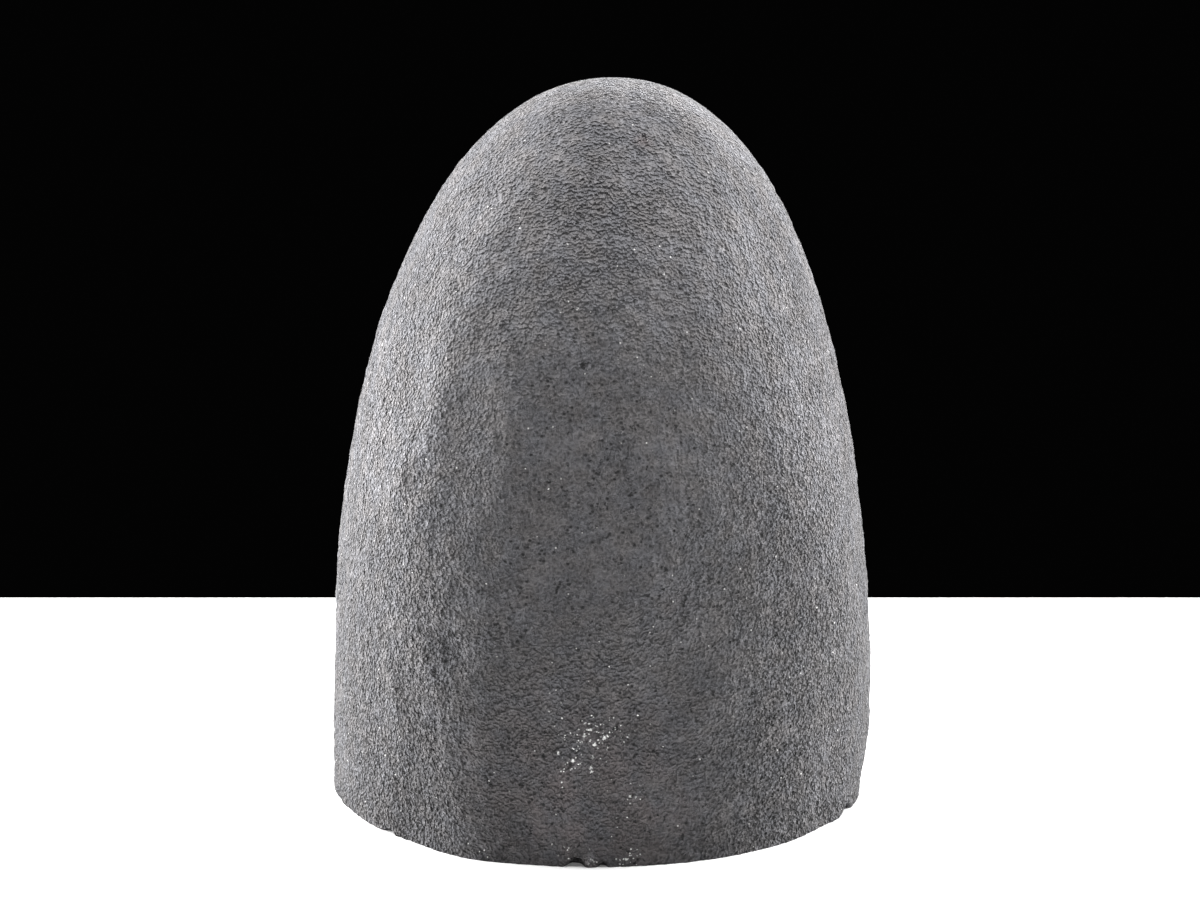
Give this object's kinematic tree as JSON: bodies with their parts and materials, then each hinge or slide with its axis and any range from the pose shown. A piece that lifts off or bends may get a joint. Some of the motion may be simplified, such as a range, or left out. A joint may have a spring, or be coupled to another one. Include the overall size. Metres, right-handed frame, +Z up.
{
  "type": "amethyst geode dome",
  "caption": "Tall half geode that stands on a sawn base, with a gritty grey domed back and a flat sawn front open on a hollow lined with amethyst crystals.",
  "frame": {"origin": "middle of the footprint's bounding box, on the surface that the sawn base stands on", "axes": "+Z up from the base to the crown, +Y out of the mouth of the hollow, -Y to the domed back, +X to the right seen from the back"},
  "size_m": [0.146, 0.074, 0.19],
  "materials": {
    "stone": "matt gritty cement coat, ground flat on the sawn face",
    "amethyst": "clear to violet quartz points"
  },
  "bodies": {
    "root": {"geode_stone": "stone", "amethyst_crust": "amethyst"}
  },
  "joints": []
}
